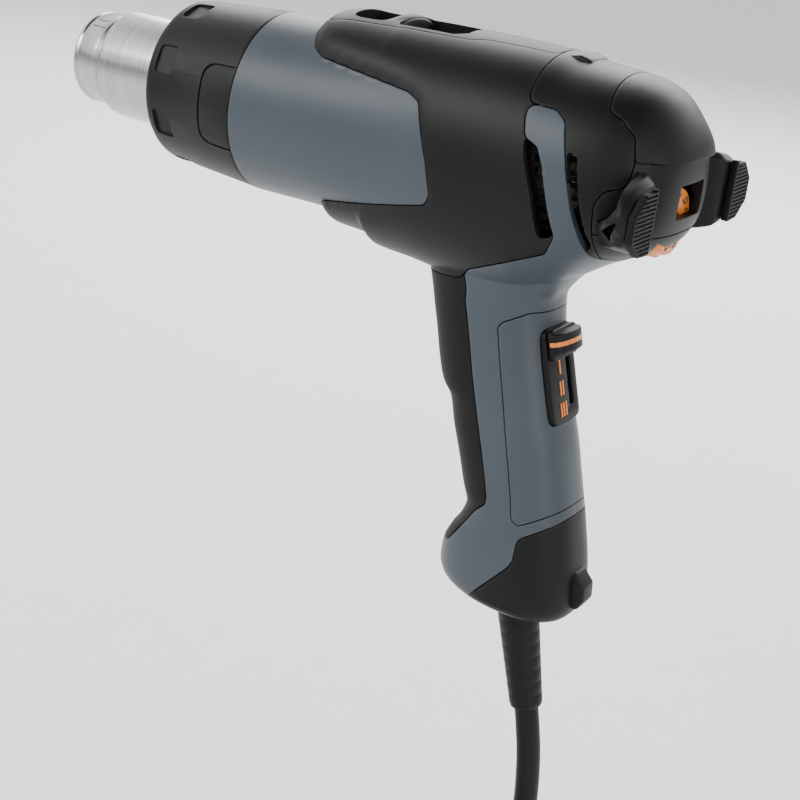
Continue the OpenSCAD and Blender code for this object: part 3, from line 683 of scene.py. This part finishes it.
def outside_distance(outline, px, pz):
    """How far each point is outside an outline; 0 within it."""
    best = np.full(px.shape, 1e9)
    inside = np.zeros(px.shape, bool)
    n = len(outline)
    for i in range(n):
        (x0, z0), (x1, z1) = outline[i - 1], outline[i]
        dx, dz = x1 - x0, z1 - z0
        t = np.clip(((px - x0) * dx + (pz - z0) * dz) / (dx * dx + dz * dz), 0, 1)
        best = np.minimum(best, np.hypot(px - x0 - t * dx, pz - z0 - t * dz))
        if z0 != z1:
            inside ^= ((z0 > pz) != (z1 > pz)) & (px < x0 + (pz - z0) / (z1 - z0) * dx)
    return np.where(inside, 0, best)


def barrel_points(rows, stations, count, thin):
    xs = [r[0] for r in rows]
    up, down, half, full = (pchip(xs, [r[i] for r in rows], stations)[:, None] for i in (1, 2, 3, 4))
    a = np.linspace(0, 2 * math.pi, count, endpoint=False)[None, :]
    c, s = np.cos(a), np.sin(a)
    tall = np.where(s >= 0, up, down) - thin
    y = (half - thin) * np.sign(c) * np.abs(c) ** (2 / full)
    z = AXIS + tall * np.sign(s) * np.abs(s) ** (2 / full)
    return np.stack([np.broadcast_to(stations[:, None], y.shape), y, z], axis=2)


def barrel(name, count, thin=0.0, last=47.4, step=1.1):
    """The barrel and dome, which step up to the raised sections outside the front housing's outline."""
    ends = [44, 45, 45.7, 46.2, 46.6, 46.9, 47.1, 47.25, 47.4]
    stations = np.array(list(np.arange(-108.5, 43.5, step)) + [e for e in ends if e <= last])
    low = barrel_points(FLUSH, stations, count, thin)
    high = barrel_points([(-108.5, 31.7, 31.7, 31.7, 2), (-96, 31.9, 31.5, 32, 2)] + RAISED, stations,
                         count, thin)
    if thin:
        return skin(name, low.tolist())
    outside = outside_distance(soften(SHROUD, 5), low[:, :, 0], low[:, :, 2])
    climb = np.clip((outside + 0.35) / 5.0, 0, 1)
    lift = np.sqrt(np.clip(1 - (1 - climb) ** 2, 0, 1))
    lift = np.where(outside > 0.01, lift, 0)[:, :, None]
    return skin(name, (low + (high - low) * lift).tolist())


def handle(name, count, thin=0.0, low=-66.4, step=1.2):
    """The handle, with closer levels where its bottom rounds off."""
    zs = [r[0] for r in GRIP]
    levels = np.array([-66.4, -66.1, -65.6, -65, -64.3] + list(np.arange(-63.5, 68, step)) + [68])
    levels = levels[levels >= low]
    front, rear, half = (pchip(zs, [r[i] for r in GRIP], levels) for i in (1, 2, 3))
    rings = []
    for z, f, b, h in zip(levels, front, rear, half):
        a = np.linspace(0, 2 * math.pi, count, endpoint=False)
        c, s = np.cos(a), np.sin(a)
        x = (f + b) / 2 + ((b - f) / 2 - thin) * np.sign(c) * np.abs(c) ** 0.8
        y = (h - thin) * np.sign(s) * np.abs(s) ** 0.8
        rings.append(np.stack([x, y, np.full(count, z)], axis=1).tolist())
    return skin(name, rings)


def make_housing():
    count = int(168 * FINE) // 8 * 8
    body = barrel("body_outer", count, step=1.1 / FINE)
    grip = handle("grip_outer", int(112 * FINE) // 8 * 8, step=1.3 / FINE)
    outer = joined(twin(body, "outer"), twin(grip, "grip"))
    hollow = barrel("body_inner", 48, WALL, last=44, step=4)
    moved(hollow, Matrix.Translation((-0.8 * MM, 0, 0)))
    minus(outer, hollow, handle("grip_inner", 40, WALL, low=-66, step=4))
    return outer, body, grip


shell, body_form, grip_form = make_housing()


def take(name, cutters, removed=()):
    """The housing inside all the cutters' outlines and outside the removed ones, less the seams."""
    piece = twin(shell, name)
    for outline in cutters:
        within(piece, side_prism(grow(soften(outline, 4), -GAP)))
    for outline in removed:
        minus(piece, side_prism(grow(soften(outline, 4), GAP)))
    return piece


def strip_cutter(by):
    return top_prism(grow(soften(STRIP, 4), by))


def halves(whole, left_name, right_name):
    """The left and right halves of a piece, a seam apart in the middle plane."""
    right = twin(whole, right_name)
    within(right, cube(-150, 80, HALF_GAP, 60, -90, 150))
    whole.name = left_name
    within(whole, cube(-150, 80, -60, -HALF_GAP, -90, 150))
    return whole, right


def screw_wells(half, *places):
    for place in places:
        minus(half, prism("cutter", circle(3.1, 32, place), 8, 60, from_side))


# grey front housing
shroud = take("front_housing", [SHROUD])
minus(shroud, strip_cutter(GAP))
finish_piece(shroud, SLATE, "slate_plastic", "gun", "front_shroud")

# black main shells
main = take("main", [], [SHROUD, BAND, REAR, FRONT_SLOT])
minus(main, strip_cutter(GAP))
main_left, main_right = halves(main, "main_shell_left", "main_shell_right")
screw_wells(main_right, (-30, 50.4), (-20, 114))
finish_piece(main_left, BLACK, "black_plastic", "gun", "shell_left")
finish_piece(main_right, BLACK, "black_plastic", "gun", "shell_right")

# strip along the top with its two air openings
strip = twin(shell, "top_vent_strip")
within(strip, strip_cutter(-GAP))
minus(strip, top_prism(slab_outline(-77, -62.4, -10.8, 10.8, 5)),
      top_prism(soften([(-58, -11.2), (-37, -10.6), (-33, -8), (-33, 8), (-37, 10.6), (-58, 11.2)], 2)))
# the arch between the openings, as x and height over the barrel's axis
ARCH = [
    (-63.4, 36.2), (-62.6, 38.2), (-61.4, 39.0), (-59.8, 39.2), (-58.4, 38.8), (-57.4, 37.8), (-57.0, 36.0),
]
ARCH_FOOT = 30


def arch_ring(x, height):
    sweep = np.linspace(0, math.pi, 33)
    rise = height - ARCH_FOOT
    return [(x, 12.4 * math.cos(t), AXIS + ARCH_FOOT + rise * max(0, math.sin(t)) ** 0.6) for t in sweep]


joined(strip, skin("arch", [arch_ring(x, height) for x, height in ARCH]))
finish_piece(strip, SOFT, "soft_black_plastic", "gun", "top_strip")

# rear housing with the raised lug
rear = take("rear_shell", [REAR], [CAP, REAR_SLOT])
lug_side = soften([(0.4, 110), (0.4, 120), (2.6, 122.8), (6.0, 123.4), (9.4, 122.6), (12, 120), (12, 110)],
                  1.4)
lug = rounded_edges(prism("lug", lug_side, -6.4, 6.4, from_side), 1.4)
minus(lug, twin(body_form, "cutter"))
joined(rear, lug)
finish_piece(rear, BLACK, "black_plastic", "gun", "rear_housing")

# rear cap with the window, the wheel's slot and the fold line round the dome
cap = take("rear_dome", [REAR, CAP])
WINDOW = [(20, -4.2), (45.6, -4.2), (47, -8.7), (60, -8.7), (60, 9.9), (20, 9.9)]
window = prism("cutter", WINDOW, 81, 91.9, from_above)
within(window, rear_prism(slab_outline(-8.6, 9.8, 81, 91.9, 1.3), 19, 61))
minus(cap, window)
minus(cap, rear_prism(circle(12.8, 96, (0, WHEEL_AXIS)), 36.3, 44.3))


def fold_ring(z0, z1, depth):
    """The skin of the dome between two levels, as deep as said, to cut a shallow line with."""
    ring = cube(20, 60, -50, 50, z0, z1)
    reach_x, reach_y = 44, 26
    shrink = Matrix.Diagonal((1 - depth / reach_x, 1 - depth / reach_y, 1, 1))
    return minus(ring, moved(twin(body_form, "core"), shrink))


minus(cap, fold_ring(99.1, 99.6, 0.22), fold_ring(76.2, 76.7, 0.4))
# above the fold the dome swells to the rear and hangs over it
FOLD_LEVEL, SWELL = 99.3, 2.4
for vertex in cap.data.vertices:
    x, z = vertex.co.x / MM, vertex.co.z / MM
    if z > FOLD_LEVEL:
        vertex.co.x += SWELL * MM * eased((x - 39) / 6.5) * eased(1 - (z - 101) / 17)
finish_piece(cap, BLACK, "black_plastic", "gun", "rear_cap")

# handle: grey halves, front pad, palm panel and base cap
grey = take("grey", [BAND], [PAD, PALM, BASE, FRONT_SLOT, REAR_SLOT])
grey_left, grey_right = halves(grey, "handle_shell_left", "handle_shell_right")
screw_wells(grey_right, (-7, 45.5), (8, -36))
finish_piece(grey_left, SLATE, "slate_plastic", "gun", "handle_left")
finish_piece(grey_right, SLATE, "slate_plastic", "gun", "handle_right")

pad = take("front_grip", [PAD, BAND])
finish_piece(pad, RUBBER, "grip_rubber", "gun", "front_pad")


def slide_prism(outline, x0, x1):
    """A prism of a (y, z) outline in the slide's own frame, where x points out of the handle's back."""
    return moved(rear_prism(outline, x0, x1), SLIDE_TURN)


palm = take("palm_shell", [PALM])
minus(palm, slide_prism(slab_outline(-9.5, 9.5, -16.3, 16.8, 3.2), -6, 30))
finish_piece(palm, SLATE, "slate_plastic", "gun", "palm_panel")

base = take("base_moulding", [BASE])
tab_side = soften([(28, -46.5), (33.8, -47.5), (37.6, -51.5), (38.1, -57), (36.2, -60.6), (28, -61.8)], 2)
tab = prism("tab", tab_side, -4, 4, from_side)
rounded_edges(tab, 0.9)
minus(tab, twin(grip_form, "cutter"))
joined(base, tab)
minus(base, moved(prism("cutter", circle(6.6, 48), -30, 30, from_above), BOOT_TURN))
finish_piece(base, BLACK, "black_plastic", "gun", "base_cap")


# ---------------------------------------------------------------- feet and their pads
# Sections from the body outwards: distance from the middle, front x, lowest z, highest z, rear x.
FOOT_REAR, FOOT_OUT = 46.9, 44.4
FOOT = [
    (20, 20, 71, 97.5, 36), (23.5, 24, 72, 97.5, 41.4), (27.5, 29, 73.5, 97.2, 46.4),
    (31, 32, 74.5, 96.6, FOOT_REAR),
    (35, 34.5, 75.5, 95.4, FOOT_REAR), (39, 36.5, 77, 93.5, FOOT_REAR), (42.5, 38.5, 79, 90.5, FOOT_REAR),
    (FOOT_OUT, 41, 81, 88, FOOT_REAR),
]
FOOT_PAD = [(30.3, 75), (38, 75.5), (44.5, 80.5), (44.2, 88), (38, 94), (30.3, 95.4)]


def foot_solid(side):
    outs = np.array(sorted(set(list(np.arange(20, 44.4, 0.8)) + [44.0, 44.4])))
    ys = [r[0] for r in FOOT]
    front, low, high, back = (pchip(ys, [r[i] for r in FOOT], outs) for i in (1, 2, 3, 4))
    rings = []
    for y, x0, z0, z1, x1 in zip(outs, front, low, high, back):
        end = max(0.0, (y - 43.6)) * 0.9
        corner = min(4.5, (z1 - z0) / 2 - 1)
        ring = [
            (x0 + corner, z0 + end), (x1, z0 + end), (x1, z1 - 2.2 - end), (x1 - 2.6, z1 - end),
            (x0 + corner, z1 - end), (x0 + end, z1 - corner), (x0 + end, z0 + corner),
        ]
        rings.append([(x, side * y, z) for x, z in soften(ring, 1.6, 5)])
    return skin("foot", rings)


RECESS = soften([(37.3, 81), (44.6, 86.8), (41.6, 79.3)], 0.9)
SHOULDER = soften([(10, 112), (40.6, 112), (41.2, 97), (42.3, 89.4), (40.5, 86.2), (33, 80.9), (10, 80.9)],
                  1.5)


def outward_prism(outline, side, near, far):
    """A prism of an (x, z) outline that runs out to one side of the gun."""
    return prism("cutter", outline, near, far, lambda u, v, w: (u, side * w, v))


for side, tag in ((-1, "left"), (1, "right")):
    foot = foot_solid(side)
    hollow = rounded_edges(outward_prism(RECESS, side, 36.6, 60), 0.3, 2)
    minus(foot, hollow, twin(body_form, "cutter"), outward_prism(SHOULDER, side, 18, 60))
    finish_piece(foot, BLACK, "black_plastic", "gun", "foot_" + tag)
    pad_plan = soften([(side * y, z) for y, z in FOOT_PAD], 1.2)
    rubber = rounded_edges(rear_prism(pad_plan, 47.1, 49.4), 0.3, 2)
    for k in range(15):
        z = 76.0 + 1.3 * k
        outer = 43.4 - max(0, (z - 88) * 0.95) - max(0, (80.5 - z) * 1.3)
        across = sorted((side * 31.2, side * outer))
        minus(rubber, rear_prism(slab_outline(*across, z, z + 0.62, 0.25), 48.3, 52))
    rubber.name = "foot_pad_" + tag
    # one CAD node stands for both pads, so only the first pad replaces it
    finish_piece(rubber, RUBBER, "grip_rubber", "gun", *(["rubber_pads"] if side < 0 else []))

# ---------------------------------------------------------------- steel outlet tube
tube_profile = [
    (16.2, -195), (16.35, -195.3), (16.8, -195.3), (17.0, -195.0), (17.0, -193.9), (16.8, -193.6),
    (16.8, -193.3), (17.0, -193.0),
    (17.0, -184.6), (16.75, -184.3), (16.4, -184.0), (16.4, -183.2), (16.75, -182.9), (17.0, -182.7),
    (17.0, -182.2),
    (16.6, -181.8), (17.2, -181.5), (18.6, -181.4), (19.3, -181.0), (19.65, -180.3), (19.75, -179.4),
    (19.75, -84), (26.5, -84), (26.5, -83.2), (18.95, -83.2), (18.95, -180.2), (16.2, -180.6),
]
tube = hoop("steel_outlet", tube_profile, on_barrel, 160)
for turn in (2.05, 2.25, 4.6, 4.8, 0.4, 0.6):
    slot = slab_outline(-191.5, -186.5, -0.35, 0.35, 0.3)
    minus(tube, prism("cutter", slot, 16.5, 18, lambda u, v, w: on_barrel(w, u, turn + v / 17)))
finish_piece(tube, TUBE, "brushed_steel", "gun", "outlet_tube", angle=35)

# ---------------------------------------------------------------- protective sleeve
sleeve_profile = [
    (22, -148.5), (22.4, -149.0), (23, -149.3), (26.6, -149.3), (27.6, -149.1), (28.3, -148.7),
    (28.8, -148.0), (29.1, -147.0),
    (29.25, -145.5), (31.55, -110.2), (31.6, -109.4), (31.4, -108.95), (28.7, -108.9), (28.7, -101.6),
    (26.7, -101.6), (26.7, -112.5),
    (26.4, -143.3), (25.4, -146.7), (22, -146.7),
]
sleeve = hoop("sleeve_shell", sleeve_profile, on_barrel, 192)
for k in range(8):
    minus(sleeve, wrapped(slab_outline(-145.2, -137.0, -5.3, 5.3, 2), 28.7, 33, (k + 0.5) * math.pi / 4))
# the sides of the barrel that face left and right, as angles
SIDES = (math.pi, 0.0)
PANEL = [(-123, -15.4), (-104, -15.4), (-104, 15.2), (-123, 15.2)]
for turn in SIDES:
    seam = wrapped(soften(PANEL, 6, 8), 29.0, 36, turn)
    inner_line = wrapped(soften(grow(PANEL, -0.75), 5.5, 8), 28.5, 37, turn)
    past_sleeve = cube(-108.9, -90, -60, 60, 20, 150)
    # the seam's bottom follows the sleeve's taper
    core = hoop("cutter", [(5, -130), (29.65, -130), (30.95, -108), (5, -108)], on_barrel, 96)
    minus(sleeve, minus(seam, inner_line, past_sleeve, core))
finish_piece(sleeve, BLACK, "black_plastic", "sleeve", "protective_sleeve", angle=35)


def sleeve_rib(k, turn):
    x = -120.3 + 2.0 * k
    return wrapped(slab_outline(x, x + 0.7, -10.5, 10.5, 0.3), 29.6, 30.95 + 0.12 * k, turn)


ribs = joined(*[sleeve_rib(k, turn) for turn in SIDES for k in range(3)])
ribs.name = "sleeve_ribs"
finish_piece(ribs, SOFT, "soft_black_plastic", "sleeve", "sleeve_grips")

# ---------------------------------------------------------------- temperature wheel
teeth = []
for k in range(36):
    for t, r in ((0, 12.2), (3.2, 12.2), (4.6, 11.7), (6.8, 11.7), (8.4, 12.2)):
        a = math.radians(10 * k + t)
        teeth.append((r * math.cos(a), WHEEL_AXIS + r * math.sin(a)))
wheel = rear_prism(teeth, 36.8, 40.4)
cone = [(3, 39), (11.4, 39), (11.4, 40.4), (10.7, 43.0), (10.4, 43.6), (10.0, 43.8), (3, 43.8)]
joined(wheel, hoop("cone", cone, on_wheel, 72))
minus(wheel, rear_prism(circle(2.02, 32, (0, WHEEL_AXIS)), 30, 50))
rounded_edges(wheel, 0.25, 2)
wheel.name = "temperature_wheel"
finish_piece(wheel, ORANGE, "orange_plastic", "dial", "dial_wheel")


def wheel_marks():
    """The numerals 1 to 9 round the wheel's rear face, leaning with the wheel's edge."""
    radius, lean, first, apart = 7.6, -60, -36, -40
    bm = bmesh.new()
    upright = Matrix(((0, 0, 1, 0), (1, 0, 0, 0), (0, 1, 0, 0), (0, 0, 0, 1)))
    lie = Matrix.Rotation(math.radians(lean), 4, "X")
    for k in range(9):
        text = bpy.data.curves.new("numeral", "FONT")
        text.body = str(9 - k)
        text.size = 0.006
        text.extrude = 0.00008
        text.align_x = "CENTER"
        text.align_y = "CENTER"
        obj = link("numeral", text)
        mesh = evaluated_mesh(obj)
        bpy.data.objects.remove(obj)
        centre = Matrix.Translation((43.82 * MM, 0, WHEEL_AXIS * MM))
        turn = Matrix.Rotation(math.radians(first + apart * k), 4, "X")
        mesh.transform(centre @ turn @ Matrix.Translation((0, 0, radius * MM)) @ lie @ upright)
        bm.from_mesh(mesh)
    mesh = bpy.data.meshes.new("wheel_numerals")
    bm.to_mesh(mesh)
    bm.free()
    return link("wheel_numerals", mesh)


finish_piece(wheel_marks(), INK, "soft_black_plastic", "dial")

# ---------------------------------------------------------------- slide switch in the palm
track = slide_prism(slab_outline(-9.2, 9.2, -16.0, 16.5, 3.0), -1.6, 1.3)
minus(track, slide_prism(slab_outline(2.8, 5.8, -11.4, 15.4, 1.2), -3, 12))
track.name = "slide_bed"
rounded_edges(track, 0.3, 2)
finish_piece(track, SOFT, "soft_black_plastic", "gun", "slide_track")


def stage_bar(stage, bar):
    """One bar of a stage's mark; the stages have one, two and three bars."""
    y = -1.6 - 0.85 * stage + 1.7 * bar
    return slide_prism(slab_outline(y - 0.42, y + 0.42, 0.4 - 7.2 * stage, 5.2 - 7.2 * stage, 0.2), 1.2, 1.5)


marks = joined(*[stage_bar(stage, bar) for stage in range(3) for bar in range(stage + 1)])
marks.name = "speed_marks"
finish_piece(marks, ORANGE, "orange_plastic", "gun", "stage_marks")
knob = slide_prism(slab_outline(-8.9, 8.9, 6.0, 16.3, 2.4), 1.75, 3.6)
rounded_edges(knob, 0.5, 3)
RIDGE_HALF = [(2.0, 8.6), (3.4, 9.1), (5.4, 8.4), (6.9, 5.8), (7.6, 2.6)]
RIDGE = [(x, -y) for x, y in RIDGE_HALF] + [(7.8, 0)] + RIDGE_HALF[::-1]


def ridge_slab(name, low, high, by=0.0):
    """The thumb ridge's outline between two heights on the slide, moved outwards or inwards."""
    outline = soften(RIDGE, 2.5)
    if by:
        outline = grow(outline, by)
    return moved(prism(name, outline, low, high, from_above), SLIDE_TURN)


joined(knob, rounded_edges(ridge_slab("ridge", 8.2, 15.2), 1.3, 4))
minus(knob, minus(ridge_slab("cutter", 11.0, 12.6, 2), ridge_slab("core", 10, 14, -0.5)))
knob.name = "slide_button"
finish_piece(knob, SOFT, "soft_black_plastic", "slide", "slide_knob")
stripe = ridge_slab("slide_stripe", 11.06, 12.54, 0.12)
minus(stripe, ridge_slab("core", 10, 14, -0.46))
minus(stripe, slide_prism([(-12, 0), (12, 0), (12, 30), (-12, 30)], -5, 2.6))
finish_piece(stripe, ORANGE, "orange_plastic", "slide", "slide_line")

# ---------------------------------------------------------------- strain relief boot
boot_profile = [(4.42, -6), (8.6, -6), (8.6, -3.4), (6.15, -3.4), (6.15, 4.6), (7.35, 4.6), (7.4, 5.2)]
for k in range(7):
    # a faint ring, a little thinner each time
    s = 9.2 + 4.9 * k
    r = 7.35 - 0.2 * k
    boot_profile += [(r, s), (r - 0.14, s + 0.25), (r - 0.14, s + 0.55), (r - 0.02, s + 0.8)]
boot_profile += [(6.0, 42.6), (5.8, 43.7), (5.5, 44.1), (4.42, 44.1)]
boot = hoop("cord_boot", boot_profile, lambda r, s, a: (r * math.cos(a), r * math.sin(a), s), 64)
moved(boot, BOOT_TURN)
finish_piece(boot, CORD, "cord_rubber", "gun", "strain_boot")

# the CAD nodes that are shown keep their shapes and get the detailed materials
looks = {s["node"]: SLOT_LOOKS[s["material_slot"]] for s in frame["record"]["subparts"]}
looks["air_duct"] = looks["motor_mount"] = DUCT
for node_name, node in frame["nodes"].items():
    if node.type == "MESH":
        for k in range(len(node.material_slots)):
            node.material_slots[k].material = looks[node_name]

for spare in (shell, body_form, grip_form):
    bpy.data.objects.remove(spare)

# ---------------------------------------------------------------- floor and light
floor = link("floor", bpy.data.meshes.new("floor"))
corners = [(x, y, FLOOR_LEVEL * MM) for x, y in ((-8, -8), (8, -8), (8, 8), (-8, 8))]
floor.data.from_pydata(corners, [], [(0, 1, 2, 3)])
floor.data.materials.append(FLOOR)
world = bpy.data.worlds.new("studio")
bpy.context.scene.world = world
world.use_nodes = True
sky = world.node_tree.nodes
rise = sky.new("ShaderNodeTexCoord")
split = sky.new("ShaderNodeSeparateXYZ")
bands = sky.new("ShaderNodeValToRGB")
# grey tones from straight below to straight above, with a bright band round the level
stops = ((0.0, 0.30), (0.05, 0.22), (0.14, 0.85), (0.68, 1.0), (0.76, 0.10), (1.0, 0.06))
for k, (place, tone) in enumerate(stops):
    stop = bands.color_ramp.elements[k] if k < 2 else bands.color_ramp.elements.new(place)
    stop.position = place
    stop.color = (tone, tone, tone, 1)
sky["Background"].inputs["Strength"].default_value = 1.9
world.node_tree.links.new(rise.outputs["Generated"], split.inputs["Vector"])
world.node_tree.links.new(split.outputs["Z"], bands.inputs["Fac"])
world.node_tree.links.new(bands.outputs["Color"], sky["Background"].inputs["Color"])
area_light("back_box", (-0.5, 1.5, 1.1), (-0.05, 0.1, 0), (2.2, 1.2), 60)
area_light("key", (-0.9, -1.2, 1.0), (-0.05, 0, 0.06), (0.9, 0.7), 22)
area_light("fill", (1.2, -0.5, 0.35), (0, 0, 0.04), (0.5, 0.8), 5)
